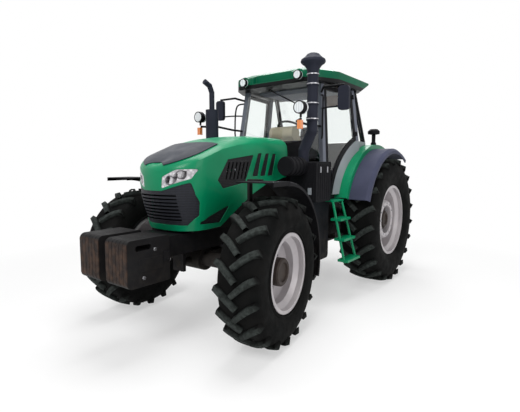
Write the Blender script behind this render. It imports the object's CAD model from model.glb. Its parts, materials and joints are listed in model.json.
"""Farm tractor: paint, rubber, glass, tread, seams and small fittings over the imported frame.

Lengths are in metres in the frame's own axes: the front faces -Y, the driver's left is +X, +Z is up.
"""
import json
import logging
from dataclasses import dataclass
from enum import Enum

import bmesh
import bpy
import numpy as np
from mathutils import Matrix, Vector

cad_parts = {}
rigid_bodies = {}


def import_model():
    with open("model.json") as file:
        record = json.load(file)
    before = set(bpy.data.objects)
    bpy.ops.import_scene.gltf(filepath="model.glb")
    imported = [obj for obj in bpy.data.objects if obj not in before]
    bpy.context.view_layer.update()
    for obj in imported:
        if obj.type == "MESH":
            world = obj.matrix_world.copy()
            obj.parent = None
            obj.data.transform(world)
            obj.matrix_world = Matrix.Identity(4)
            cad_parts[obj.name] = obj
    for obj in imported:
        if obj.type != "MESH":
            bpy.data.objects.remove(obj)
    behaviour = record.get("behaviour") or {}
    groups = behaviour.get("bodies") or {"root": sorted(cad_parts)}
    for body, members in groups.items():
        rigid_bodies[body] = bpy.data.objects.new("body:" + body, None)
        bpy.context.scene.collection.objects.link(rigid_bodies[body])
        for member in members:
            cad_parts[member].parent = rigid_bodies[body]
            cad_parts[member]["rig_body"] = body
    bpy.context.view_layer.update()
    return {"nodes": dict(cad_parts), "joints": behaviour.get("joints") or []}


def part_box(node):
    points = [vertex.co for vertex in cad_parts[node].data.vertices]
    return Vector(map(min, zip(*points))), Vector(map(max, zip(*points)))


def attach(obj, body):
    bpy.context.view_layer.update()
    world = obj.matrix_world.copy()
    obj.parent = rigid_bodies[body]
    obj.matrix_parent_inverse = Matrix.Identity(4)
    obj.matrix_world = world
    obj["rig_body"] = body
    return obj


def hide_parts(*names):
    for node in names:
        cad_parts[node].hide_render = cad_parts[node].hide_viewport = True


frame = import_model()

log = logging.getLogger("tractor")
Array = np.ndarray
Socket = bpy.types.NodeSocket
Colour = tuple[float, float, float]
Point = tuple[float, float, float]
Range = tuple[float, float]
Values = dict[str | int, Socket | float | tuple[float, ...]]

REAR_AXLE_Y = 1.445
LEFTWARDS = np.array([1.0, 0.0, 0.0])
BACKWARDS = np.array([0.0, 1.0, 0.0])
UPWARDS = np.array([0.0, 0.0, 1.0])
MIRROR_X = np.diag([-1.0, 1.0, 1.0])


class Side(Enum):
    """The tractor's two sides, as the sign of X."""

    LEFT = 1
    RIGHT = -1

    @property
    def label(self) -> str:
        """The side as names of pieces give it."""
        return self.name.lower()

    @property
    def flip(self) -> Array:
        """The matrix that takes a form drawn on the left to this side."""
        return np.eye(3) if self == Side.LEFT else MIRROR_X


class Shading(Enum):
    """How a piece's faces are shaded: smooth all over, or smooth up to an angle."""

    SMOOTH = 1
    CREASED = 2


def srgb(red: int, green: int, blue: int) -> Colour:
    """A linear colour from the 0 to 255 values of a picture, by the sRGB curve.

    Args:
        red, green, blue: the picture's values.
    Returns:
        The same colour as linear light.
    """
    c = np.array([red, green, blue]) / 255.0
    linear = np.where(c <= 0.04045, c / 12.92, ((c + 0.055) / 1.055) ** 2.4)
    return tuple(float(v) for v in linear)


DUST: Colour = srgb(150, 138, 122)
WORN_RUBBER: Colour = srgb(34, 32, 31)
# Parts of the noise's range, from where it starts to show to where it shows in full.
SOFT: Range = (0.35, 0.65)
WIDE: Range = (0.3, 0.7)
LATE: Range = (0.4, 0.7)
STEEP: Range = (0.35, 0.7)
# Octaves of noise.
PLAIN, CLOUDY, BUSY, SPECKLED = 3.0, 5.0, 6.0, 8.0


class NodeSheet:
    """The node tree of a material or a world, with short calls for the nodes that the finishes share."""

    def __init__(self, holder: bpy.types.Material | bpy.types.World) -> None:
        """Takes up a new tree and the shader that it starts with.

        Args:
            holder: the material or world.
        """
        holder.use_nodes = True
        self.tree = holder.node_tree
        self.shader = self.find("BSDF_PRINCIPLED", "BACKGROUND")
        self.place = self.add("TexCoord", {}, "Object")

    def find(self, *kinds: str) -> bpy.types.Node:
        """The first node of these kinds."""
        return next(n for n in self.tree.nodes if n.type in kinds)

    def fill(self, node: bpy.types.Node, values: Values) -> None:
        """Sets inputs of a node.

        Args:
            node: the node.
            values: an output to link or a value to set, for each input's name or number.
        """
        for key, value in values.items():
            if isinstance(value, Socket):
                self.tree.links.new(value, node.inputs[key])
            else:
                node.inputs[key].default_value = value

    def give(self, values: Values) -> None:
        """Sets inputs of the shader."""
        self.fill(self.shader, values)

    def add(self, kind: str, values: Values, output: str | int = 0, **settings: str | int) -> Socket:
        """Adds a node.

        Args:
            kind: its type's name after ShaderNode.
            values: its inputs.
            output: the name or number of the output that is wanted.
            settings: its properties.
        Returns:
            That output.
        """
        node = self.tree.nodes.new(f"ShaderNode{kind}")
        for key, value in settings.items():
            setattr(node, key, value)
        self.fill(node, values)
        return node.outputs[output]

    def noise(self, scale: float, detail: float = 4.0) -> Socket:
        """Cloudy noise over the object, by features per metre and octaves."""
        return self.add("TexNoise", {"Vector": self.place, "Scale": scale, "Detail": detail}, "Fac")

    def wave(self, direction: str, scale: float, distortion: float = 0.0) -> Socket:
        """Bands that follow each other along an axis, by how close they are and how much they waver."""
        values = {"Vector": self.place, "Scale": scale, "Distortion": distortion}
        return self.add("TexWave", values, "Fac", wave_type="BANDS", bands_direction=direction)

    def spread(self, source: Socket, given: Range, wanted: Range = (0.0, 1.0)) -> Socket:
        """A value mapped from the range it comes from to the one that is wanted."""
        ends = zip(("From Min", "From Max", "To Min", "To Max"), (*given, *wanted))
        return self.add("MapRange", {"Value": source, **dict(ends)}, "Result")

    def math(self, operation: str, a: Socket, b: Socket | float = 0.0) -> Socket:
        """One step of arithmetic, such as MULTIPLY."""
        return self.add("Math", {0: a, 1: b}, operation=operation)

    def mix(self, factor: Socket, a: Socket | Colour, b: Colour) -> Socket:
        """A colour between a, at 0, and b, at 1; inputs 6 and 7 and output 2 are the node's colours."""
        first = (*a, 1) if isinstance(a, tuple) else a
        return self.add("Mix", {"Factor": factor, 6: first, 7: (*b, 1)}, 2, data_type="RGBA")

    def bump(self, height: Socket, strength: float, distance: float, edge: float = 0.0) -> None:
        """Puts a relief on the shader.

        Args:
            height: the relief's height, 0 to 1.
            strength: how strongly it shows.
            distance: its depth.
            edge: radius that edges are shaded with.
        """
        values = {"Height": height, "Strength": strength, "Distance": distance}
        if edge > 0:
            values["Normal"] = self.add("Bevel", {"Radius": edge}, "Normal", samples=6)
        self.give({"Normal": self.add("Bump", values, "Normal")})

    def along(self, axis: str, source: Socket | None = None) -> Socket:
        """The X, Y or Z of a direction, or of the point in the object's own axes."""
        return self.add("SeparateXYZ", {0: source or self.place}, axis)


@dataclass(frozen=True)
class Coating:
    """What a surface looks like: a name, and a way to fill a node sheet."""

    name: str

    def material(self) -> bpy.types.Material:
        """Builds the coating.

        Returns:
            The material.
        """
        material = bpy.data.materials.new(self.name)
        self.paint(NodeSheet(material))
        return material

    def paint(self, sheet: NodeSheet) -> None:
        """Fills the sheet, each kind of coating in its own way."""
        raise NotImplementedError


@dataclass(frozen=True)
class Finish(Coating):
    """A solid surface: two close shades in soft patches, a fine grain, and dust that thins out upwards."""

    colour: Colour
    shade: Colour
    roughness: float = 0.5
    metallic: float = 0.0
    coat: float = 0.0
    coat_roughness: float = 0.08
    specular: float = 0.5
    patch_scale: float = 2.5
    speckle_scale: float = 14.0
    speckle_share: Range = (0.2, 1.0)
    wear_scale: float = 9.0
    wear: Range = (-0.05, 0.07)
    grain_scale: float = 260.0
    grain_depth: float = 0.0004
    grain_strength: float = 0.25
    dust: float = 0.1
    dust_top: float = 1.2
    edge: float = 0.006
    front_tint: Colour | None = None
    front_y: Range = (0.0, 0.0)
    front_even: float = 0.0
    under: Colour | None = None
    under_z: float = 0.0

    def paint(self, sheet: NodeSheet) -> None:
        """Fills the sheet: shades, dust, a tint at the front, a colour below, then grain and gloss.

        Args:
            sheet: the material's sheet.
        """
        tone = sheet.mix(sheet.spread(sheet.noise(self.patch_scale), SOFT), self.colour, self.shade)
        fade = sheet.spread(sheet.along("Z"), (0.0, self.dust_top), (self.dust, 0.0))
        speckle = sheet.spread(sheet.noise(self.speckle_scale, SPECKLED), LATE, self.speckle_share)
        shown = sheet.mix(sheet.math("MULTIPLY", fade, speckle), tone, DUST)
        if self.front_tint is not None:
            near = sheet.spread(sheet.along("Y"), self.front_y, (1.0, 0.0))
            worn = sheet.math("MAXIMUM", speckle, self.front_even)
            shown = sheet.mix(sheet.math("MULTIPLY", near, worn), shown, self.front_tint)
        if self.under is not None:
            shown = sheet.mix(self.underside(sheet), shown, self.under)
        rough = tuple(self.roughness + change for change in self.wear)
        sheet.give({
            "Base Color": shown, "Metallic": self.metallic, "Specular IOR Level": self.specular,
            "Roughness": sheet.spread(sheet.noise(self.wear_scale, BUSY), WIDE, rough),
            "Coat Weight": self.coat, "Coat Roughness": self.coat_roughness})
        sheet.bump(sheet.noise(self.grain_scale, PLAIN), self.grain_strength, self.grain_depth, self.edge)

    def underside(self, sheet: NodeSheet) -> Socket:
        """Tells what lies below a height or faces down.

        Args:
            sheet: the material's sheet.
        Returns:
            An output with 1 there and 0 elsewhere.
        """
        blur, down = 0.002, (-0.6, -0.4)
        normal = sheet.add("NewGeometry", {}, "True Normal")
        below = sheet.spread(sheet.along("Z"), (self.under_z - blur, self.under_z + blur), (1.0, 0.0))
        facing = sheet.spread(sheet.along("Z", normal), down, (1.0, 0.0))
        return sheet.math("MAXIMUM", below, facing)


@dataclass(frozen=True)
class TreadFinish(Coating):
    """Tyre rubber: dark and matt, with paler worn lug faces where the tread attribute is 1.

    Fine rings on the walls come from the sine of the reach attribute, the distance from the axle.
    """

    colour: Colour
    worn: Colour
    worn_scale: float = 30.0
    worn_share: Range = (0.35, 1.0)
    patch_scale: float = 5.0
    patch_share: Range = (0.0, 0.30)
    wear_scale: float = 12.0
    roughness: Range = (0.66, 0.88)
    specular: float = 0.05
    grain_scale: float = 190.0
    ring_pitch: float = 0.028
    ring_share: float = 0.5
    strength: float = 0.35
    relief: float = 0.0015
    edge: float = 0.006

    def paint(self, sheet: NodeSheet) -> None:
        """Fills the sheet: patches, worn lugs, then rings and grain in the relief.

        Args:
            sheet: the material's sheet.
        """
        tread, reach = (sheet.add("Attribute", {}, "Fac", attribute_name=name)
                        for name in ("tread", "reach"))
        rubbed = sheet.spread(sheet.noise(self.worn_scale, SPECKLED), STEEP, self.worn_share)
        worn = sheet.math("MULTIPLY", tread, rubbed)
        patches = sheet.spread(sheet.noise(self.patch_scale, CLOUDY), STEEP, self.patch_share)
        base = sheet.mix(patches, self.colour, WORN_RUBBER)
        rings = sheet.math("SINE", sheet.math("MULTIPLY", reach, 2 * np.pi / self.ring_pitch))
        rings = sheet.math("MULTIPLY", rings, self.ring_share)
        height = sheet.math("ADD", sheet.noise(self.grain_scale), rings)
        sheet.give({
            "Base Color": sheet.mix(worn, base, self.worn), "Specular IOR Level": self.specular,
            "Roughness": sheet.spread(sheet.noise(self.wear_scale, CLOUDY), WIDE, self.roughness)})
        sheet.bump(height, self.strength, self.relief, self.edge)


@dataclass(frozen=True)
class GlassFinish(Coating):
    """Clear glass with a faint tint and light dust in its roughness."""

    tint: Colour
    ior: float = 1.45
    whitening: float = 0.3
    haze: float = 0.12
    haze_scale: float = 3.0
    haze_range: Range = (0.35, 0.75)
    dusty: float = 0.03
    dust_scale: float = 6.0
    dust_range: Range = (0.4, 0.8)

    def paint(self, sheet: NodeSheet) -> None:
        """Fills the sheet.

        Args:
            sheet: the material's sheet.
        """
        haze = sheet.spread(sheet.noise(self.haze_scale, CLOUDY), self.haze_range, (0.0, self.haze))
        paler = tuple(min(1.0, self.whitening + (1 - self.whitening) * c) for c in self.tint)
        dust = sheet.spread(sheet.noise(self.dust_scale, BUSY), self.dust_range, (0.0, self.dusty))
        sheet.give({
            "Base Color": sheet.mix(haze, self.tint, paler), "Transmission Weight": 1.0, "IOR": self.ior,
            "Roughness": dust})


@dataclass(frozen=True)
class ClothFinish(Coating):
    """Woven cloth: two crossed sets of threads in the relief, with sheen."""

    colour: Colour
    thread: Colour
    thread_scale: float = 21.0
    thread_share: float = 0.5
    waver: float = 0.6
    patch_scale: float = 8.0
    patch_share: Range = (0.0, 0.5)
    roughness: float = 0.9
    sheen: float = 0.4
    strength: float = 0.4
    relief: float = 0.0012

    def paint(self, sheet: NodeSheet) -> None:
        """Fills the sheet.

        Args:
            sheet: the material's sheet.
        """
        weave = sheet.math("MULTIPLY", *(sheet.wave(axis, self.thread_scale, self.waver) for axis in "XZ"))
        patches = sheet.spread(sheet.noise(self.patch_scale, CLOUDY), WIDE, self.patch_share)
        both = sheet.math("ADD", sheet.math("MULTIPLY", weave, self.thread_share), patches)
        sheet.give({"Base Color": sheet.mix(both, self.colour, self.thread),
                    "Roughness": self.roughness, "Sheen Weight": self.sheen})
        sheet.bump(weave, self.strength, self.relief)


@dataclass(frozen=True)
class LensFinish(Coating):
    """A lamp's lens: clear or coloured, glossy, with fine flutes."""

    colour: Colour
    flute_scale: float = 10.0
    flute_gain: float = 1.25
    flute_lift: float = 0.03
    roughness: float = 0.12
    strength: float = 0.3
    relief: float = 0.001

    def paint(self, sheet: NodeSheet) -> None:
        """Fills the sheet.

        Args:
            sheet: the material's sheet.
        """
        flutes = sheet.wave("X", self.flute_scale)
        paler = tuple(min(1.0, c * self.flute_gain + self.flute_lift) for c in self.colour)
        sheet.give({"Base Color": sheet.mix(flutes, self.colour, paler), "Roughness": self.roughness,
                    "Coat Weight": 1.0})
        sheet.bump(flutes, self.strength, self.relief)


@dataclass(frozen=True)
class MeshFinish(Coating):
    """Fine grille mesh: crossed wires in relief, from sines of X plus Y and of Z, over darker gaps."""

    wire: Colour
    gap: Colour
    pitch: float = 0.016
    wire_range: Range = (0.72, 0.94)
    roughness: float = 0.5
    specular: float = 0.25
    strength: float = 0.6
    relief: float = 0.004

    def paint(self, sheet: NodeSheet) -> None:
        """Fills the sheet.

        Args:
            sheet: the material's sheet.
        """
        step = float(np.pi / self.pitch)
        level = sheet.math("ADD", sheet.along("X"), sheet.along("Y"))
        waves = [sheet.math("ABSOLUTE", sheet.math("SINE", sheet.math("MULTIPLY", place, step)))
                 for place in (level, sheet.along("Z"))]
        wires = sheet.spread(sheet.math("MAXIMUM", *waves), self.wire_range)
        sheet.give({"Base Color": sheet.mix(wires, self.gap, self.wire),
                    "Roughness": self.roughness, "Specular IOR Level": self.specular})
        sheet.bump(wires, self.strength, self.relief)


@dataclass(frozen=True)
class HeadlampFinish(Coating):
    """A headlamp's lens over its reflectors: bright facets, with a dark ring round each reflector.

    A reflector is a circle in X and Z, mirrored on the other side; its ring is where the distance from the
    circle's centre is close to its radius.
    """

    bright: Colour
    dark: Colour
    reflectors: tuple[Point, ...]
    ring: float = 0.012
    ring_core: float = 0.4
    facet_scale: float = 34.0
    facet_range: Range = (0.15, 0.7)
    facet_share: Range = (0.0, 0.6)
    roughness: float = 0.14
    metallic: float = 0.2
    coat: float = 0.6
    strength: float = 0.35
    relief: float = 0.003

    def paint(self, sheet: NodeSheet) -> None:
        """Fills the sheet.

        Args:
            sheet: the material's sheet.
        """
        values = {"Vector": sheet.place, "Scale": self.facet_scale}
        facets = sheet.add("TexVoronoi", values, "Distance", feature="F1")
        shade = sheet.spread(facets, self.facet_range, self.facet_share)
        x, z = sheet.math("ABSOLUTE", sheet.along("X")), sheet.along("Z")
        for centre_x, centre_z, radius in self.reflectors:
            squares = [sheet.math("POWER", sheet.math("SUBTRACT", value, centre), 2.0)
                       for value, centre in ((x, centre_x), (z, centre_z))]
            reach = sheet.math("POWER", sheet.math("ADD", *squares), 0.5)
            off = sheet.math("ABSOLUTE", sheet.math("SUBTRACT", reach, radius))
            ring = sheet.spread(off, (self.ring_core * self.ring, self.ring), (1.0, 0.0))
            shade = sheet.math("MAXIMUM", shade, ring)
        sheet.give({"Base Color": sheet.mix(shade, self.bright, self.dark),
                    "Roughness": self.roughness, "Metallic": self.metallic, "Coat Weight": self.coat})
        sheet.bump(shade, self.strength, self.relief)


GREEN = Finish("green_paint", srgb(0, 136, 92), srgb(0, 126, 84), roughness=0.36, coat=0.1, specular=0.2,
               grain_strength=0.03, dust=0.05)
ROOF_GREEN = Finish("roof_paint", srgb(0, 98, 68), srgb(0, 88, 60), roughness=0.4, coat=0.04, specular=0.12,
                    grain_strength=0.03, edge=0.03, under=srgb(13, 13, 15), under_z=2.812)
SLATE = Finish("slate_plastic", srgb(44, 48, 58), srgb(37, 41, 50), roughness=0.36, coat=0.04,
               specular=0.14)
BLACK = Finish("black_plastic", srgb(25, 25, 28), srgb(19, 19, 22), roughness=0.6, specular=0.08,
               grain_strength=0.3)
BLACK_PAINT = Finish("black_paint", srgb(27, 27, 30), srgb(21, 21, 23), roughness=0.48, specular=0.08,
                     grain_strength=0.08)
PILLAR = Finish("pillar_paint", srgb(27, 27, 30), srgb(21, 21, 23), roughness=0.5, specular=0.1,
                front_tint=srgb(122, 126, 138), front_y=(1.02, 1.06), front_even=0.9)
STACK = Finish("stack_plastic", srgb(45, 47, 58), srgb(37, 39, 49), roughness=0.52, specular=0.08)
TANK = Finish("tank_plastic", srgb(36, 38, 43), srgb(29, 31, 35), roughness=0.65, specular=0.08,
              grain_strength=0.3, dust=0.18, edge=0.015)
IRON = Finish("cast_iron", srgb(36, 34, 34), srgb(28, 27, 26), roughness=0.65, specular=0.1,
              grain_scale=120.0, grain_depth=0.002, grain_strength=0.35, dust=0.16)
WEIGHT = Finish("weight_casting", srgb(27, 27, 29), srgb(20, 19, 20), roughness=0.55, specular=0.1,
                grain_scale=150.0, grain_depth=0.0015, grain_strength=0.35, dust=0.08, edge=0.008,
                front_tint=srgb(74, 56, 46), front_y=(-2.5045, -2.494))
EDGING = Finish("edging_plastic", srgb(66, 69, 90), srgb(57, 60, 79), roughness=0.55, specular=0.15)
PANEL = Finish("panel_paint", srgb(150, 155, 160), srgb(137, 143, 148), specular=0.3)
LINER = Finish("liner_plastic", srgb(142, 145, 158), srgb(130, 133, 146), roughness=0.7, specular=0.2)
BROWN = Finish("trim_brown", srgb(122, 90, 68), srgb(104, 76, 57), roughness=0.65, specular=0.2)
BEIGE = Finish("dash_plastic", srgb(192, 182, 158), srgb(178, 168, 145), roughness=0.6, specular=0.25,
               edge=0.012)
SILVER = Finish("rim_paint", srgb(192, 187, 189), srgb(176, 171, 174), roughness=0.4, metallic=0.25,
                coat=0.15, specular=0.4, dust=0.14)
STEEL = Finish("ground_steel", srgb(176, 176, 180), srgb(150, 150, 155), roughness=0.3, metallic=0.9,
               edge=0.002)
HUB = Finish("hub_casting", srgb(52, 43, 39), srgb(41, 34, 31), roughness=0.6, specular=0.25,
             grain_scale=150.0, grain_depth=0.001)
MIRROR = Finish("mirror_glass", srgb(200, 206, 212), srgb(190, 196, 202), roughness=0.07, metallic=1.0,
                grain_strength=0.01, dust=0.0, edge=0.0)
RUBBER = TreadFinish("tyre_rubber", srgb(13, 14, 14), srgb(62, 67, 65))
GLASS = GlassFinish("window_glass", srgb(249, 252, 251))
LENS = LensFinish("clear_lens", srgb(222, 226, 230))
AMBER = LensFinish("amber_lens", srgb(232, 128, 44))
HEADLAMP = HeadlampFinish("headlamp_lens", srgb(232, 230, 234), srgb(104, 101, 106),
                          ((0.215, 1.575, 0.040), (0.305, 1.630, 0.036)))
CLOTH = ClothFinish("seat_cloth", srgb(48, 49, 54), srgb(78, 80, 86))
GRILLE = MeshFinish("grille_mesh", srgb(40, 42, 50), srgb(20, 21, 26))
SIDE_MESH = MeshFinish("side_mesh", srgb(30, 30, 34), srgb(8, 8, 9))

COATED_NODES: tuple[tuple[Coating, str], ...] = (
    (IRON, "front_axle engine_block gearbox_housing hitch_frame drawbar top_link left_knuckle"),
    (IRON, "right_knuckle lift_arms lift_rods lower_links"),
    (BLACK_PAINT, "front_frame cab_floor cab_rails left_door right_door"),
    (BLACK, "air_cleaner cowl steering_wheel seat_frame breather_cap left_front_fender right_front_fender"),
    (STACK, "intake_stack exhaust_stack mirrors"),
    (GREEN, "hood_shell rear_fenders boarding_steps"),
    (ROOF_GREEN, "cab_roof"), (PILLAR, "cab_pillars"), (PANEL, "cab_side_panels"), (BEIGE, "dashboard"),
    (GLASS, "cab_glass left_door_glass right_door_glass"),
    (WEIGHT, "front_weights"), (TANK, "side_tanks"), (EDGING, "fender_edging"), (SLATE, "hood_top_panel"),
    (GRILLE, "front_grille"), (SIDE_MESH, "side_grilles"), (STEEL, "hood_hinges tie_rod"),
    (HEADLAMP, "headlamps"), (LENS, "work_lamps"), (AMBER, "turn_signals"),
    (SILVER, "front_left_rim front_right_rim rear_left_rim rear_right_rim"),
)
NODE_FINISH: dict[str, Coating] = {node: coat for coat, nodes in COATED_NODES for node in nodes.split()}


class Paintshop:
    """Makes each finish's material once."""

    made: dict[str, bpy.types.Material] = {}

    @classmethod
    def get(cls, finish: Coating) -> bpy.types.Material:
        """The material of a finish.

        Args:
            finish: the finish.
        Returns:
            Its material, made at the first call.
        """
        if finish.name not in cls.made:
            cls.made[finish.name] = finish.material()
        return cls.made[finish.name]


@dataclass
class Surface:
    """Points and four-sided faces of a piece; a face whose last two corners are equal is a triangle."""

    points: Array
    faces: Array

    def moved(self, turn: Array, shift: Array | float = 0.0) -> "Surface":
        """The surface turned by a 3 by 3 matrix and then shifted.

        Args:
            turn: rotation or mirror matrix.
            shift: translation.
        Returns:
            The moved surface.
        """
        faces = self.faces if np.linalg.det(turn) > 0 else self.faces[:, ::-1]
        return Surface(self.points @ np.asarray(turn).T + shift, faces)

    @staticmethod
    def joined(parts: list["Surface"]) -> "Surface":
        """All surfaces as one.

        Args:
            parts: the surfaces.
        Returns:
            One surface.
        """
        starts = np.cumsum([0] + [len(p.points) for p in parts[:-1]])
        return Surface(np.concatenate([p.points for p in parts]),
                       np.concatenate([p.faces + s for p, s in zip(parts, starts)]))


def grid_faces(rows: int, cols: int, close_rows: bool = False, close_cols: bool = False) -> Array:
    """Quads of a grid of points stored row by row.

    Args:
        rows, cols: the grid's size.
        close_rows, close_cols: joins the last row or column to the first.
    Returns:
        Corner numbers, one face a line.
    """
    last_row, last_col = rows - (not close_rows), cols - (not close_cols)
    i, j = (index.ravel() for index in np.indices((last_row, last_col)))
    i2, j2 = (i + 1) % rows, (j + 1) % cols
    return np.stack([i * cols + j, i * cols + j2, i2 * cols + j2, i2 * cols + j], axis=1)


def revolved(profile: Array, segments: int) -> Surface:
    """A profile of radius and distance along the axis, turned about X; equal ends close the profile.

    A point is (distance, radius times sine of the turn, radius times cosine of the turn).

    Args:
        profile: radius and distance, one point a line.
        segments: steps in a full turn.
    Returns:
        The surface.
    """
    turn = np.linspace(0, 2 * np.pi, segments, endpoint=False)[:, None]
    radius, along = profile[None, :, 0], profile[None, :, 1]
    points = np.stack([along + 0 * turn, radius * np.sin(turn), radius * np.cos(turn)], axis=2)
    closed = np.allclose(profile[0], profile[-1])
    count = len(profile) - closed
    return Surface(points[:, :count].reshape(-1, 3), grid_faces(segments, count, True, closed))


def swept(path: Array, section: Array, up: Array = UPWARDS) -> Surface:
    """A closed section carried along a path, with flat ends.

    Each section point is the path's point plus its first value along the sideways direction and its second
    along the direction square to both; the sideways direction is the tangent crossed with up.

    Args:
        path: points of the path.
        section: outline points in the two crosswise directions.
        up: a direction that the path never runs along.
    Returns:
        The surface.
    """
    tangent = np.gradient(path, axis=0)
    tangent /= np.linalg.norm(tangent, axis=1, keepdims=True)
    sideways = np.cross(tangent, up)
    sideways /= np.linalg.norm(sideways, axis=1, keepdims=True)
    square = np.cross(sideways, tangent)
    points = (path[:, None] + section[None, :, :1] * sideways[:, None]
              + section[None, :, 1:] * square[:, None])
    rows, cols = len(path), len(section)
    flat = np.concatenate([points.reshape(-1, 3), path[[0, -1]]])
    j = np.arange(cols)
    j2 = (j + 1) % cols
    first = np.stack([np.full(cols, rows * cols), j2, j, j], axis=1)
    last_row = (rows - 1) * cols
    last = np.stack([np.full(cols, rows * cols + 1), last_row + j, last_row + j2, last_row + j2], axis=1)
    return Surface(flat, np.concatenate([grid_faces(rows, cols, False, True), first, last]))


def circle(radius: float, count: int = 16) -> Array:
    """Points of a circle, one a line."""
    turn = np.linspace(0, 2 * np.pi, count, endpoint=False)
    return radius * np.stack([np.cos(turn), np.sin(turn)], axis=1)


def smooth_path(points: tuple[Point, ...], steps: int = 8) -> Array:
    """A curve through the points: each stretch is a cubic whose end slopes come from the neighbours.

    Args:
        points: the points it goes through.
        steps: steps on each stretch.
    Returns:
        Points of the curve.
    """
    p = np.array(points, float)
    p = np.concatenate([2 * p[:1] - p[1:2], p, 2 * p[-1:] - p[-2:-1]])
    t = np.linspace(0, 1, steps, endpoint=False)[None, :, None]
    a, b, c, d = (p[i:len(p) - 3 + i][:, None] for i in range(4))
    curve = b + 0.5 * t * (c - a + t * (2 * a - 5 * b + 4 * c - d + t * (3 * (b - c) + d - a)))
    return np.concatenate([curve.reshape(-1, 3), p[-2:-1]])


def rounded(half_a: float, half_b: float, corner: float, steps: int = 6) -> Array:
    """Outline of a rectangle with round corners, one point a line.

    Args:
        half_a, half_b: half sizes.
        corner: the corners' radius.
        steps: points in each corner.
    Returns:
        The outline's points.
    """
    turn = (np.arange(4)[:, None] + np.linspace(0, 1, steps)[None, :]) * np.pi / 2
    signs = np.array([[1, 1], [-1, 1], [-1, -1], [1, -1]])[:, None]
    centre = signs * [half_a - corner, half_b - corner]
    return (centre + corner * np.stack([np.cos(turn), np.sin(turn)], axis=2)).reshape(-1, 2)


def block(low: Array | Point, high: Array | Point, corner: float) -> Surface:
    """An upright block with round upright edges, swept from its bottom to its top.

    Args:
        low, high: its corners.
        corner: the edges' radius.
    Returns:
        The surface.
    """
    low, high = np.asarray(low, float), np.asarray(high, float)
    middle, half = (low + high) / 2, (high - low) / 2
    path = np.array([[*middle[:2], low[2]], [*middle[:2], high[2]]])
    return swept(path, rounded(half[0], half[1], corner), BACKWARDS)


def node_surface(name: str) -> Surface:
    """A frame node's triangles as a surface.

    Args:
        name: the node.
    Returns:
        Its points and triangles.
    """
    mesh = frame["nodes"][name].data
    mesh.calc_loop_triangles()
    corners = np.empty(len(mesh.loop_triangles) * 3, dtype=np.int32)
    mesh.loop_triangles.foreach_get("vertices", corners)
    triangles = corners.reshape(-1, 3)
    return Surface(mesh_points(mesh), np.concatenate([triangles, triangles[:, 2:]], axis=1))


def mesh_points(mesh: bpy.types.Mesh) -> Array:
    """A mesh's points, one a line.

    Args:
        mesh: the mesh.
    Returns:
        The points' coordinates.
    """
    flat = np.empty(len(mesh.vertices) * 3)
    mesh.vertices.foreach_get("co", flat)
    return flat.reshape(-1, 3)


def pillow(half: Array, power: float, rows: int = 24, cols: int = 40) -> Surface:
    """A rounded block: a sphere's angles with sine and cosine raised to a power below 1.

    Args:
        half: half sizes along X, Y and Z.
        power: 1 gives an ellipsoid and 0 a block.
        rows, cols: the grid's size.
    Returns:
        The surface about the origin.
    """
    v = np.linspace(-np.pi / 2, np.pi / 2, rows)[:, None]
    u = np.linspace(-np.pi, np.pi, cols, endpoint=False)[None, :]

    def soft(x: Array) -> Array:
        """Sign of x times its size to the power."""
        return np.sign(x) * np.abs(x) ** power

    points = np.stack([soft(np.cos(v)) * soft(np.cos(u)), soft(np.cos(v)) * soft(np.sin(u)),
                       soft(np.sin(v)) + 0 * u], axis=2) * half
    return Surface(points.reshape(-1, 3), grid_faces(rows, cols, False, True))


# A bolt head's outline from its foot to the middle of its top, as shares of its radius and height.
HEAD_RINGS = np.array([[1.0, -0.15], [1.0, 0.75], [0.86, 1.0], [0.0, 1.0]])
HEAD_SIDES = 6


def bolt_heads(centres: Array, axis: Array, radius: float, height: float) -> Surface:
    """Six-sided heads with a bevelled top, standing on their centres along one level axis.

    Args:
        centres: the foot of each head.
        axis: the direction they stand along, of length 1.
        radius, height: a head's size.
    Returns:
        All heads as one surface.
    """
    side = np.cross(axis, UPWARDS)
    turn = np.linspace(0, 2 * np.pi, HEAD_SIDES, endpoint=False)
    around = np.cos(turn)[:, None] * side + np.sin(turn)[:, None] * np.cross(axis, side)
    local = HEAD_RINGS[:, None, :1] * radius * around[None] + HEAD_RINGS[:, None, 1:] * height * axis
    local = local.reshape(-1, 3)
    faces = grid_faces(len(HEAD_RINGS), HEAD_SIDES, False, True)
    every = (faces[None] + np.arange(len(centres))[:, None, None] * len(local)).reshape(-1, 4)
    return Surface((centres[:, None] + local[None]).reshape(-1, 3), every)


def add_object(name: str, data: bpy.types.ID) -> bpy.types.Object:
    """A new object in the scene.

    Args:
        name: its name.
        data: its mesh, light or camera.
    Returns:
        The object.
    """
    obj = bpy.data.objects.new(name, data)
    bpy.context.scene.collection.objects.link(obj)
    return obj


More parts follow.
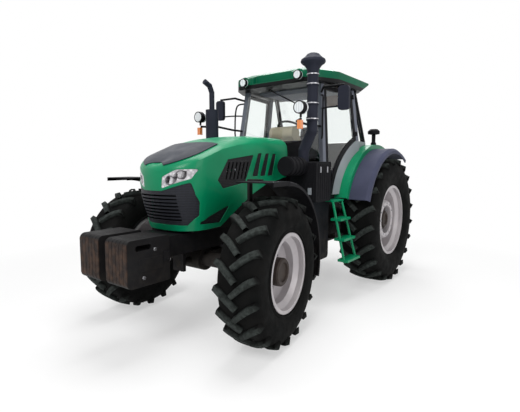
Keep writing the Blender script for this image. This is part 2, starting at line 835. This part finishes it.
class Piece:
    """Puts surfaces into the scene as objects that ride on a body."""

    weld = 1e-5
    no_area = 1e-7

    @classmethod
    def add(cls, name: str, surface: Surface, finish: Coating, body: str = "chassis",
            shading: Shading = Shading.CREASED, crease: float = 35.0) -> bpy.types.Object:
        """Makes an object from a surface.

        Args:
            name: the object's name.
            surface: its points and faces.
            finish: its finish.
            body: the body that it rides on.
            shading: smooth, or smooth up to an angle.
            crease: that angle, in degrees.
        Returns:
            The object.
        """
        mesh = bpy.data.meshes.new(name)
        f = surface.faces
        triangles = f[:, 2] == f[:, 3]
        loops = [*f[~triangles].tolist(), *f[triangles][:, :3].tolist()]
        mesh.from_pydata(surface.points.tolist(), [], loops)
        mesh.validate()
        cls.clean(mesh)
        mesh.polygons.foreach_set("use_smooth", np.full(len(mesh.polygons), True))
        if shading == Shading.CREASED:
            mesh.set_sharp_from_angle(angle=np.radians(crease))
        obj = add_object(name, mesh)
        mesh.materials.append(Paintshop.get(finish))
        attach(obj, body)
        log.info("%s: %d faces on %s", name, len(mesh.polygons), body)
        return obj

    @classmethod
    def clean(cls, mesh: bpy.types.Mesh) -> None:
        """Merges a mesh's points that lie on each other and drops its faces with no area.

        Args:
            mesh: the mesh.
        """
        work = bmesh.new()
        work.from_mesh(mesh)
        bmesh.ops.remove_doubles(work, verts=work.verts, dist=cls.weld)
        bmesh.ops.dissolve_degenerate(work, edges=work.edges, dist=cls.no_area)
        work.to_mesh(mesh)
        work.free()


def turn_about_z(degrees: float) -> Array:
    """The matrix of a turn about Z."""
    a = np.radians(degrees)
    return np.array([[np.cos(a), -np.sin(a), 0.0], [np.sin(a), np.cos(a), 0.0], [0.0, 0.0, 1.0]])


@dataclass
class Tyre:
    """One size of drive tyre: a bulged carcass with two rows of slanted lugs."""

    radius: float
    width: float
    bead_radius: float
    rim_half: float
    lug_height: float
    lug_count: int
    lug_width: float
    slant: float = 0.95

    # The bead: above the bead's radius, and past the rim's half width.
    bead = ((0.0, -0.046), (0.0, -0.0103), (0.031, -0.0103), (0.040, 0.012))
    # The wall: share of the height from bead to crown, and how far inside the full width.
    wall = ((0.20, 0.026), (0.36, 0.010), (0.52, 0.005), (0.68, 0.009), (0.82, 0.020), (0.92, 0.040),
            (0.975, 0.075))
    crown_drop, crown_share = 0.003, 0.45
    segments, lug_steps, crease = 120, 13, 32.0
    # A lug starts past the middle and ends inside the shoulder; its tip and foot fall off outwards.
    lug_start, lug_end, lug_curve = -0.018, 0.017, 0.18
    tip_inset, tip_fall = 0.0015, 0.028
    foot_sink, foot_fall, foot_from, foot_power = 0.012, 0.075, 0.72, 1.3
    lug_taper = (0.90, 0.25)
    section = np.array([[-0.72, 0.0], [-0.56, 0.80], [-0.47, 1.0], [0.47, 1.0], [0.56, 0.80], [0.72, 0.0]])
    # Heights above the carcass between which the tread attribute rises from 0 to 1.
    tread_from, tread_rise = 0.006, 0.012

    @property
    def crown(self) -> float:
        """The carcass's radius in the middle."""
        return self.radius - self.lug_height

    def carcass(self) -> Surface:
        """The carcass: a profile from one bead over the crown to the other, turned about X and closed.

        Returns:
            The surface.
        """
        half, height = self.width / 2, self.crown - self.bead_radius
        outer = [(self.bead_radius + up, self.rim_half + out) for up, out in self.bead]
        outer += [(self.bead_radius + share * height, half - inset) for share, inset in self.wall]
        outer += [(self.crown - self.crown_drop, half * self.crown_share), (self.crown, 0.0)]
        right = np.array(outer)
        return revolved(np.concatenate([right, right[-2::-1] * [1, -1], right[:1]]), self.segments)

    def lug(self) -> Surface:
        """One lug on the outer half.

        A path runs from past the middle to the shoulder, leaning forwards; a tapered section square to the
        path rises from the carcass to the tip radius, which falls off towards the shoulder.

        Returns:
            The surface.
        """
        half = self.width / 2
        u = np.linspace(0, 1, self.lug_steps)
        across = self.lug_start + (half - self.lug_end - self.lug_start) * u
        path = np.stack([across, self.slant * half * (u - self.lug_curve * u ** 3)], axis=1)
        tangent = np.gradient(path, axis=0)
        tangent /= np.linalg.norm(tangent, axis=1, keepdims=True)
        normal = np.stack([-tangent[:, 1], tangent[:, 0]], axis=1)
        tip = self.radius - self.tip_inset - self.tip_fall * u ** 3
        outside = np.clip(u - self.foot_from, 0, 1) ** self.foot_power / (1 - self.foot_from)
        foot = self.crown - self.foot_sink - self.foot_fall * outside
        w = self.lug_width * (self.lug_taper[0] + self.lug_taper[1] * u)
        flat = path[:, None] + self.section[None, :, :1] * w[:, None, None] * normal[:, None]
        radius = foot[:, None] + (tip - foot)[:, None] * self.section[None, :, 1]
        turn = flat[:, :, 1] / self.radius
        points = np.stack([flat[:, :, 0], radius * np.sin(turn), radius * np.cos(turn)], axis=2)
        rows, cols = points.shape[:2]
        j = np.arange(1, cols - 1)
        start = np.stack([0 * j, j, j + 1, j + 1], axis=1)
        end = (rows - 1) * cols + np.stack([0 * j, j + 1, j, j], axis=1)
        faces = np.concatenate([grid_faces(rows, cols, False, True)[:, ::-1], start, end])
        return Surface(points.reshape(-1, 3), faces)

    def lugs(self) -> Surface:
        """All lugs: copies turned about the axle, and mirrored ones half a pitch on.

        Returns:
            The surface.
        """
        one = self.lug()
        turns = np.linspace(0, 2 * np.pi, self.lug_count, endpoint=False)
        parts = []
        for start, mirror in ((0.0, np.eye(3)), (np.pi / self.lug_count, MIRROR_X)):
            base = one.moved(mirror)
            for a in turns + start:
                spin = np.array([[1, 0, 0], [0, np.cos(a), np.sin(a)], [0, -np.sin(a), np.cos(a)]])
                parts.append(base.moved(spin))
        return Surface.joined(parts)


@dataclass
class BoltRing:
    """A ring of bolt heads on a wheel's disc: their count, its radius, the disc's face, a head's radius."""

    count: int
    radius: float
    face: float
    head: float
    head_share = 0.9

    def surface(self) -> Surface:
        """The heads, evenly round X and standing outwards.

        Returns:
            The surface.
        """
        turn = np.linspace(0, 2 * np.pi, self.count, endpoint=False)
        feet = np.stack([np.full(self.count, self.face), self.radius * np.sin(turn),
                         self.radius * np.cos(turn)], axis=1)
        return bolt_heads(feet, LEFTWARDS, self.head, self.head * self.head_share)


@dataclass
class HubCover:
    """A dark cast cover over a hub: a drum with a bevelled rim and a sunk middle."""

    radius: float
    back: float
    end: float
    skin = 0.0006
    bevel, bevel_depth = 0.0135, 0.0138
    dish_lip, dish_floor, dish_depth = 0.0402, 0.0460, 0.0174
    segments = 72

    def surface(self) -> Surface:
        """The cover, turned about X.

        Returns:
            The surface.
        """
        r, end = self.radius, self.end
        profile = np.array([(r + self.skin, self.back), (r + self.skin, end - self.bevel_depth),
                            (r - self.bevel, end + self.skin), (r - self.dish_lip, end + self.skin),
                            (r - self.dish_floor, end - self.dish_depth), (0.0, end - self.dish_depth)])
        return revolved(profile, self.segments)


@dataclass
class WheelKit:
    """What the two wheels of one axle share.

    The cover, a bright drum before the disc, and the hub ring are profiles of radius and distance outwards.
    """

    tyre: Tyre
    bolts: tuple[BoltRing, ...]
    hub: HubCover
    cover: tuple[Range, ...] = ()
    hub_ring: tuple[Range, ...] = ()
    cover_segments, ring_segments = 96, 72


KITS = {
    "front": WheelKit(
        tyre=Tyre(radius=0.715, width=0.430, bead_radius=0.3558, rim_half=0.190, lug_height=0.042,
                  lug_count=19, lug_width=0.046),
        bolts=(BoltRing(count=10, radius=0.165, face=0.008, head=0.014),),
        hub=HubCover(radius=0.135, back=0.022, end=0.130)),
    "rear": WheelKit(
        tyre=Tyre(radius=0.915, width=0.520, bead_radius=0.4828, rim_half=0.203, lug_height=0.048,
                  lug_count=21, lug_width=0.054),
        bolts=(BoltRing(count=8, radius=0.165, face=0.0590, head=0.016),
               BoltRing(count=12, radius=0.238, face=0.1258, head=0.012)),
        hub=HubCover(radius=0.120, back=0.0712, end=0.110),
        cover=((0.340, 0.0045), (0.331, 0.010), (0.273, 0.117), (0.262, 0.126), (0.214, 0.126),
               (0.206, 0.120), (0.200, 0.047)),
        hub_ring=((0.2002, 0.0480), (0.1206, 0.0717))),
}


@dataclass
class Wheel:
    """A wheel's place and its dressing: tyre, bolts, hub and cover."""

    name: str
    kit: WheelKit
    centre: Array
    side: Side
    yaw: float

    @property
    def body(self) -> str:
        """The body that the wheel's pieces ride on."""
        return f"{self.name}_wheel"

    def add(self, label: str, surface: Surface, finish: Coating) -> None:
        """Adds a piece that is drawn about X, outwards positive, at the wheel's place.

        Args:
            label: what the piece's name adds to the wheel's.
            surface: the surface.
            finish: its finish.
        """
        placed = surface.moved(turn_about_z(self.yaw) @ self.side.flip, self.centre)
        Piece.add(f"{self.name}_{label}", placed, finish, self.body)

    def build(self) -> None:
        self.build_tyre()
        for ring in self.kit.bolts:
            self.add(f"bolts_{ring.count}", ring.surface(), STEEL)
        self.add("hub_cover", self.kit.hub.surface(), HUB)
        if self.kit.cover:
            self.add("disc_cover", revolved(np.array(self.kit.cover), self.kit.cover_segments), SILVER)
            self.add("hub_ring", revolved(np.array(self.kit.hub_ring), self.kit.ring_segments), HUB)

    def build_tyre(self) -> None:
        """Makes the tyre in place of the frame's, with attributes for worn lugs and the wall's rings."""
        tyre, turn = self.kit.tyre, turn_about_z(self.yaw)
        whole = Surface.joined([tyre.carcass(), tyre.lugs()]).moved(turn, self.centre)
        obj = Piece.add(f"{self.name}_tread_tyre", whole, RUBBER, self.body, crease=tyre.crease)
        local = (mesh_points(obj.data) - self.centre) @ turn
        reach = np.hypot(local[:, 1], local[:, 2])
        tread = np.clip((reach - tyre.crown - tyre.tread_from) / tyre.tread_rise, 0, 1)
        for name, values in (("tread", tread), ("reach", reach)):
            obj.data.attributes.new(name, "FLOAT", "POINT").data.foreach_set("value", values)
        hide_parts(f"{self.name}_tyre")

    @classmethod
    def all(cls) -> list["Wheel"]:
        """The four wheels at their places, read from the frame's joints.

        Returns:
            The wheels.
        """
        joints = {j["child"]: j for j in frame["joints"]}
        found = []
        for end, kit in KITS.items():
            for side in Side:
                joint = joints[f"{end}_{side.label}_wheel"]
                yaw = float(np.degrees(np.arctan2(joint["axis"][1], joint["axis"][0])))
                found.append(cls(f"{end}_{side.label}", kit, np.array(joint["pos_m"]), side, yaw))
        return found


class Studio:
    """Floor, light and camera."""

    camera_place = (3.11, -4.36, 1.725)
    camera_turn = (84.0, -0.1, 37.0)
    # The sensor's width in millimetres, and the fitted focal length over the picture's width, in pixels.
    sensor_width, lens_over_width = 36.0, 395 / 520
    # Each lamp's place, the point it shines at, its edge length and its power in watts.
    lamps = {
        "key_light": ((2.5, -8.0, 7.0), (0.2, -0.4, 1.0), 3.5, 420.0),
        "fill_light": ((7.5, -1.5, 4.0), (0.0, 0.0, 1.2), 4.0, 130.0),
        "top_light": ((0.0, 0.0, 8.5), (0.0, 0.0, 1.0), 5.0, 480.0),
        "rear_light": ((-4.0, 7.5, 6.5), (0.0, 0.5, 1.4), 4.0, 220.0),
    }
    # How bright the world lights, and how bright it shows.
    world_levels = (0.22, 1.0)
    floor_reach, floor_scale, floor_roughness = 40.0, 0.6, 0.9
    floor_tones = ((0.93, 0.93, 0.93), (0.96, 0.96, 0.96))
    # How far from the middle the floor starts to turn white and is white, and its share of white there.
    white_from, white_share = (2.6, 5.5), (0.5, 1.0)

    def build(self) -> None:
        """Sets the view transform, then the world, floor, lamps and camera."""
        bpy.context.scene.view_settings.view_transform = "Standard"
        self.build_world()
        self.build_floor()
        self.build_lamps()
        self.build_camera()

    @staticmethod
    def background_rays(sheet: NodeSheet) -> Socket:
        """Tells the rays that show the background: the camera's, those off a gloss and those through glass.

        Args:
            sheet: the sheet that asks.
        Returns:
            An output with 1 for such a ray and 0 for any other.
        """
        rays = sheet.tree.nodes.new("ShaderNodeLightPath").outputs
        seen = rays["Is Camera Ray"]
        for name in ("Is Glossy Ray", "Is Transmission Ray"):
            seen = sheet.math("MAXIMUM", seen, rays[name])
        return seen

    def build_world(self) -> None:
        """Even pale light all round, and white where the camera, a gloss or glass sees it."""
        world = bpy.data.worlds.new("studio")
        sheet = NodeSheet(world)
        level = sheet.spread(self.background_rays(sheet), (0.0, 1.0), self.world_levels)
        sheet.give({"Color": (1, 1, 1, 1), "Strength": level})
        bpy.context.scene.world = world

    def build_floor(self) -> None:
        """A pale floor that turns white in the picture away from the middle and keeps the shadow there."""
        mesh = bpy.data.meshes.new("floor")
        r = self.floor_reach
        mesh.from_pydata([(-r, -r, 0), (r, -r, 0), (r, r, 0), (-r, r, 0)], [], [(0, 1, 2, 3)])
        paint = bpy.data.materials.new("floor_paint")
        mesh.materials.append(paint)
        sheet = NodeSheet(paint)
        tone = sheet.spread(sheet.noise(self.floor_scale, CLOUDY), WIDE)
        sheet.give({"Base Color": sheet.mix(tone, *self.floor_tones), "Roughness": self.floor_roughness})
        reach = sheet.add("VectorMath", {0: sheet.place}, "Value", operation="LENGTH")
        far = sheet.spread(reach, self.white_from, self.white_share)
        share = sheet.math("MULTIPLY", far, self.background_rays(sheet))
        both = sheet.add("MixShader", {0: share, 1: sheet.shader.outputs[0], 2: sheet.add("Emission", {})})
        sheet.fill(sheet.find("OUTPUT_MATERIAL"), {"Surface": both})
        floor = add_object("floor", mesh)

    def build_lamps(self) -> None:
        """Square soft lamps, each turned to its aim."""
        for name, (place, aim, size, power) in self.lamps.items():
            light = bpy.data.lights.new(name, "AREA")
            light.energy, light.size = power, size
            obj = add_object(name, light)
            obj.location = place
            obj.rotation_euler = (Vector(aim) - Vector(place)).to_track_quat("-Z", "Y").to_euler()

    def build_camera(self) -> None:
        """The camera that took the photo, as fitted to the wheels."""
        camera = bpy.data.cameras.new("camera")
        camera.sensor_width = self.sensor_width
        camera.lens = self.lens_over_width * self.sensor_width
        obj = add_object("camera", camera)
        obj.location = self.camera_place
        obj.rotation_euler = tuple(np.radians(self.camera_turn))
        bpy.context.scene.camera = obj


@dataclass
class SeatPads:
    """The seat's cushion and backrest, swollen by cloth simulation from slightly smaller blocks."""

    cushion_top: float = 1.760
    cushion_end: float = REAR_AXLE_Y - 0.295
    back_low: float = 1.770 + 0.010
    back_front: float = REAR_AXLE_Y - 0.390
    back_inset: float = 0.02
    inset: float = 0.008
    power: float = 0.32
    voxel: float = 0.012
    pressure: float = 4.0
    frames: int = 20
    cap: float = 0.02

    def build(self) -> None:
        """Makes both pads in place of the frame's plain blocks."""
        lo, hi = (np.array(c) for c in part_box("seat_pads"))
        boxes = {
            "seat_cushion": (lo, np.array([hi[0], self.cushion_end, self.cushion_top])),
            "seat_back": (np.array([lo[0] + self.back_inset, self.back_front, self.back_low]),
                          np.array([hi[0] - self.back_inset, hi[1], hi[2]])),
        }
        for name, (low, high) in boxes.items():
            pad = pillow((high - low) / 2 - self.inset, self.power)
            obj = Piece.add(name, pad.moved(np.eye(3), (low + high) / 2), CLOTH, shading=Shading.SMOOTH)
            self.inflate(obj, low, high)
            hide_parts("seat_pads")

    def inflate(self, obj: bpy.types.Object, low: Array, high: Array) -> None:
        """Swells a pad with pressure and keeps it inside its block.

        Args:
            obj: the pad.
            low, high: the block's corners.
        """
        remesh = obj.modifiers.new("remesh", "REMESH")
        remesh.mode = "VOXEL"
        remesh.voxel_size = self.voxel
        self.apply(obj)
        before = mesh_points(obj.data)
        cloth = obj.modifiers.new("cloth", "CLOTH")
        cloth.settings.use_pressure = True
        cloth.settings.uniform_pressure_force = self.pressure
        cloth.settings.effector_weights.gravity = 0.0
        for number in range(1, self.frames + 1):
            bpy.context.scene.frame_set(number)
        self.apply(obj)
        step = mesh_points(obj.data) - before
        length = np.linalg.norm(step, axis=1, keepdims=True)
        held = before + step * np.minimum(1.0, self.cap / np.maximum(length, 1e-9))
        obj.data.vertices.foreach_set("co", np.clip(held, low, high).ravel())
        obj.data.update()
        obj.data.polygons.foreach_set("use_smooth", np.full(len(obj.data.polygons), True))
        bpy.context.scene.frame_set(1)

    @staticmethod
    def apply(obj: bpy.types.Object) -> None:
        """Makes the object's mesh what its modifiers give, and drops them.

        Args:
            obj: the object.
        """
        graph = bpy.context.evaluated_depsgraph_get()
        fresh = bpy.data.meshes.new_from_object(obj.evaluated_get(graph))
        obj.modifiers.clear()
        obj.data = fresh


@dataclass
class BodySkin:
    """Lofted panels as welded, evenly shaded copies of the frame's, and dark sheets inside the hood."""

    panels: str = "hood_shell hood_top_panel front_grille side_grilles headlamps cab_roof"
    crease: float = 30.0
    screen: tuple[Point, Point] = ((-0.31, -1.700, 1.095), (0.31, -1.692, 1.500))
    baffle: tuple[Range, Range] = ((-0.004, -1.150), (0.004, -0.500))
    baffle_top: float = 1.800
    baffle_gap: float = 0.012
    corner: float = 0.003

    def build(self) -> None:
        """Makes each panel's copy in place of the frame's faceted one, and the sheets."""
        for name in self.panels.split():
            body = frame["nodes"][name]["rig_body"]
            obj = Piece.add(f"{name}_skin", node_surface(name), NODE_FINISH[name], body, crease=self.crease)
            obj.modifiers.new("even", "WEIGHTED_NORMAL").keep_sharp = True
            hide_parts(name)
        Piece.add("nose_screen", block(*self.screen, self.corner), BLACK, "hood")
        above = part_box("engine_block")[1][2] + self.baffle_gap
        low, high = self.baffle
        Piece.add("hood_baffle", block((*low, above), (*high, self.baffle_top), self.corner), BLACK, "hood")


@dataclass
class IntakeStack:
    """The intake stack with a thin-edged cap in place of the solid's drum, and bright bands on its collars.

    The cap's and the bands' profiles are radius and height, turned about X and then stood upright.
    """

    cap_low: float = 2.760
    cap_radius: float = 0.145
    cap: tuple[Range, ...] = (
        (0.064, 2.750), (0.068, 2.800), (0.080, 2.840), (0.104, 2.872), (0.136, 2.895), (0.1445, 2.908),
        (0.1448, 2.922), (0.139, 2.936), (0.116, 2.952), (0.092, 2.972), (0.074, 2.994), (0.050, 3.006),
        (0.0, 3.0095))
    bands: tuple[float, ...] = (2.254, 2.434, 2.654, 2.764)
    band_radius: float = 0.0735
    band_depth: float = 0.006
    band_height: float = 0.012
    cap_segments: int = 64
    band_segments: int = 48
    crease: float = 28.0

    def build(self) -> None:
        """Makes the stack from the frame's triangles below the cap, then the cap and the bands."""
        lo, hi = (np.array(c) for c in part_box("intake_stack"))
        axis = np.array([hi[0] - self.cap_radius, (lo[1] + hi[1]) / 2, 0.0])
        stand = np.stack([BACKWARDS, UPWARDS, LEFTWARDS])
        solid = node_surface("intake_stack")
        below = solid.points[solid.faces[:, :3]][:, :, 2].mean(axis=1) < self.cap_low
        cap = revolved(np.array(self.cap), self.cap_segments).moved(stand, axis)
        whole = Surface.joined([Surface(solid.points, solid.faces[below]), cap])
        obj = Piece.add("intake_stack_skin", whole, STACK, crease=self.crease)
        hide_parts("intake_stack")
        inner, outer = self.band_radius - self.band_depth, self.band_radius
        rings = []
        for z in self.bands:
            top = z + self.band_height
            profile = np.array([(inner, z), (outer, z), (outer, top), (inner, top)])
            rings.append(revolved(profile, self.band_segments).moved(stand, axis))
        Piece.add("intake_bands", Surface.joined(rings), STEEL)


@dataclass(frozen=True)
class LampSize:
    """One kind of lamp: the middle of its lens's face, its radius and depth, and the lip over its lens."""

    place: Point
    radius: float
    depth: float
    lip: float
    skin = 0.0012
    lip_inside = 0.001
    sleeve_share, back_share = 0.72, 0.86
    segments = 40

    def housing(self) -> Surface:
        """A cup open to the front: a lip over the lens's rim, a sleeve and a closed back.

        The cup's profile is turned about X and then laid along Y.

        Returns:
            The housing on the left side.
        """
        mouth, wall, back = self.radius - self.lip, self.radius + self.skin, self.depth + self.skin
        profile = np.array([(mouth, self.lip_inside), (mouth, -self.skin), (wall, -self.skin),
                            (wall, self.sleeve_share * self.depth), (self.back_share * self.radius, back),
                            (0.0, back)])
        lay = np.stack([BACKWARDS, LEFTWARDS, UPWARDS])
        return revolved(profile, self.segments).moved(lay, np.array(self.place))


@dataclass
class Lamps:
    """Dark housings round the lenses of the roof's lamps and of those beside the hood, with stems."""

    roof: LampSize = LampSize(place=(0.435, -0.055, 2.840), radius=0.055, depth=0.050, lip=0.008)
    side: LampSize = LampSize(place=(0.785, -0.570, 2.3543), radius=0.070, depth=0.090, lip=0.010)
    stem_radius: float = 0.0126
    stem_low: float = 2.2443 + 0.002
    stem_lap: float = 0.010

    def build(self) -> None:
        """Makes the housings and stems of both sides."""
        x, y, z = self.side.place
        middle, top = y + self.side.depth / 2, z - self.side.radius + self.stem_lap
        path = np.array([[x, middle, self.stem_low], [x, middle, top]])
        stem = swept(path, circle(self.stem_radius), BACKWARDS)
        left = [self.roof.housing(), self.side.housing(), stem]
        both = [part.moved(side.flip) for part in left for side in Side]
        Piece.add("lamp_housings", Surface.joined(both), BLACK)


@dataclass
class WeightFittings:
    """Bolt heads and a blank raised plate on the outer side of each stack of front weights.

    Places are measured back and up from each stack's lower front corner.
    """

    bolt_places: tuple[Range, ...] = ((0.285, 0.305), (0.165, 0.075))
    head_radius: float = 0.017
    head_height: float = 0.012
    plate_place: Range = (0.245, 0.185)
    plate_half: Range = (0.125, 0.055)
    plate_corner: float = 0.015
    plate_sunk: float = 0.002
    plate_proud: float = 0.004

    def build(self) -> None:
        """Makes the fittings on both sides."""
        lo, hi = (np.array(c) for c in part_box("front_weights"))
        face = hi[0]
        heads = np.array([[face, lo[1] + y, lo[2] + z] for y, z in self.bolt_places])
        bolts = bolt_heads(heads, LEFTWARDS, self.head_radius, self.head_height)
        y, z = lo[1] + self.plate_place[0], lo[2] + self.plate_place[1]
        path = np.array([[face - self.plate_sunk, y, z], [face + self.plate_proud, y, z]])
        plate = swept(path, rounded(*self.plate_half, self.plate_corner))
        for side in Side:
            Piece.add(f"weight_bolts_{side.label}", bolts.moved(side.flip), STEEL)
            Piece.add(f"weight_plate_{side.label}", plate.moved(side.flip), WEIGHT)


@dataclass
class CleanerTrim:
    """Upright ribs, two latches and a blank pale plate on the air cleaner's box."""

    box_depth: float = 0.370
    box_top: float = 1.760
    margin: float = 0.03
    corner: float = 0.004
    rib_half: float = 0.006
    rib_proud: float = 0.005
    rib_sunk: float = 0.004
    side_ribs: int = 6
    side_margin: float = 0.05
    front_ribs: int = 3
    front_margins: Range = (0.22, 0.04)
    front_height: float = 0.20
    latch_from_end: float = 0.10
    latch_half: float = 0.012
    latch_drop: Range = (0.10, 0.03)
    latch_depth: Range = (0.002, 0.010)
    plate_margins: Range = (0.25, 0.06)
    plate_rise: Range = (0.06, 0.14)
    plate_depth: Range = (0.0065, 0.002)

    def build(self) -> None:
        """Makes the ribs on the outer and the front face, then the latches and the plate."""
        lo, hi = (np.array(c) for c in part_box("air_cleaner"))
        front, low, high = hi[1] - self.box_depth, lo[2] + self.margin, self.box_top - self.margin
        side, back, half = hi[0], hi[1], self.rib_half
        ribs = [block((side - self.rib_sunk, y - half, low),
                      (side + self.rib_proud, y + half, high), self.corner)
                for y in np.linspace(front + self.side_margin, back - self.side_margin, self.side_ribs)]
        first, last = lo[0] + self.front_margins[0], side - self.front_margins[1]
        ribs += [block((x - half, front - self.rib_proud, low),
                       (x + half, front + self.rib_sunk, low + self.front_height), self.corner)
                 for x in np.linspace(first, last, self.front_ribs)]
        Piece.add("cleaner_ribs", Surface.joined(ribs), BLACK)
        half = self.latch_half
        latches = [block((side - self.latch_depth[0], y - half, high - self.latch_drop[0]),
                         (side + self.latch_depth[1], y + half, high - self.latch_drop[1]), self.corner)
                   for y in (front + self.latch_from_end, back - self.latch_from_end)]
        Piece.add("cleaner_latches", Surface.joined(latches), STEEL)
        plate = block(
            (lo[0] + self.plate_margins[0], front - self.plate_depth[0], low + self.plate_rise[0]),
            (side - self.plate_margins[1], front + self.plate_depth[1], low + self.plate_rise[1]),
            self.corner)
        Piece.add("cleaner_plate", plate, PANEL)


@dataclass
class CabTrim:
    """The cab's small fittings: wiper, headliner, blind, grab rails, mirror glass, lower mirror arms."""

    wiper_low: Point = (0.278, 0.205, 2.524)
    wiper_high: Point = (-0.181, 0.229, 2.755)
    wiper_lift: float = 0.006
    arm_radius: float = 0.007
    blade_from: float = -0.12
    blade_share: float = 0.72
    blade_section: Point = (0.010, 0.007, 0.003)
    wiper_points: int = 9
    wiper_sides: int = 10
    tube_sides: int = 12
    liner_section: Point = (0.52, 0.42, 0.10)
    liner_y: float = 0.800
    liner_z: Range = (2.746, 2.759)
    blind: tuple[Point, Point] = ((0.04, 1.090, 2.575), (0.50, 1.125, 2.744))
    blind_corner: float = 0.012
    mirror_middle: Point = (1.000, 0.1358, 2.523)
    mirror_section: Point = (0.058, 0.128, 0.032)
    mirror_depth: Range = (0.003, 0.0006)
    mirror_arm: tuple[Point, ...] = (
        (0.628, 0.235, 2.430), (0.730, 0.140, 2.430), (0.830, 0.113, 2.430), (0.935, 0.110, 2.430))
    mirror_arm_radius: float = 0.010
    rail: tuple[Point, ...] = (
        (0.614, 0.250, 2.610), (0.690, 0.160, 2.585), (0.712, 0.125, 2.500), (0.716, 0.110, 2.300),
        (0.712, 0.120, 2.110), (0.660, 0.200, 2.040))
    rail_radius: float = 0.011
    rail_up: Point = (0.3, 1.0, 0.0)

    def build(self) -> None:
        """Makes every fitting."""
        self.build_wiper()
        liner = np.array([[0.0, self.liner_y, z] for z in self.liner_z])
        Piece.add("headliner", swept(liner, rounded(*self.liner_section), BACKWARDS), LINER)
        Piece.add("rear_blind", block(*self.blind, self.blind_corner), BROWN)
        x, y, z = self.mirror_middle
        depth = np.array([[x, y - self.mirror_depth[0], z], [x, y + self.mirror_depth[1], z]])
        glass = swept(depth, rounded(*self.mirror_section))
        arm = swept(smooth_path(self.mirror_arm), circle(self.mirror_arm_radius, self.tube_sides))
        tube = circle(self.rail_radius, self.tube_sides)
        rail = swept(smooth_path(self.rail), tube, np.array(self.rail_up))
        for side in Side:
            Piece.add(f"mirror_glass_{side.label}", glass.moved(side.flip), MIRROR)
            Piece.add(f"mirror_arm_{side.label}", arm.moved(side.flip), BLACK_PAINT)
            Piece.add(f"grab_rail_{side.label}", rail.moved(side.flip), BLACK_PAINT)

    def build_wiper(self) -> None:
        """Makes the wiper's arm and its blade, which runs on past the arm's foot."""
        low, high = np.array(self.wiper_low), np.array(self.wiper_high)
        steps = np.linspace(0.0, 1.0, self.wiper_points)[:, None]
        lift = self.wiper_lift * BACKWARDS
        arm = swept(low + (high - low) * steps - lift, circle(self.arm_radius, self.wiper_sides))
        blade = swept(low + (high - low) * (self.blade_share * steps + self.blade_from) + lift,
                      rounded(*self.blade_section))
        Piece.add("wiper", Surface.joined([arm, blade]), BLACK)


def dress_frame_nodes() -> None:
    """Gives each shown node of the frame its finish."""
    for name, finish in NODE_FINISH.items():
        node = frame["nodes"][name]
        node.data.materials.clear()
        node.data.materials.append(Paintshop.get(finish))
        log.info("%s: %s", name, finish.name)


def main() -> None:
    """Builds the studio and dresses every sub-assembly in order."""
    logging.basicConfig(level=logging.INFO, format="%(message)s")
    Studio().build()
    dress_frame_nodes()
    for wheel in Wheel.all():
        wheel.build()
    BodySkin().build()
    IntakeStack().build()
    Lamps().build()
    WeightFittings().build()
    CleanerTrim().build()
    CabTrim().build()
    SeatPads().build()


if __name__ == "__main__":
    main()
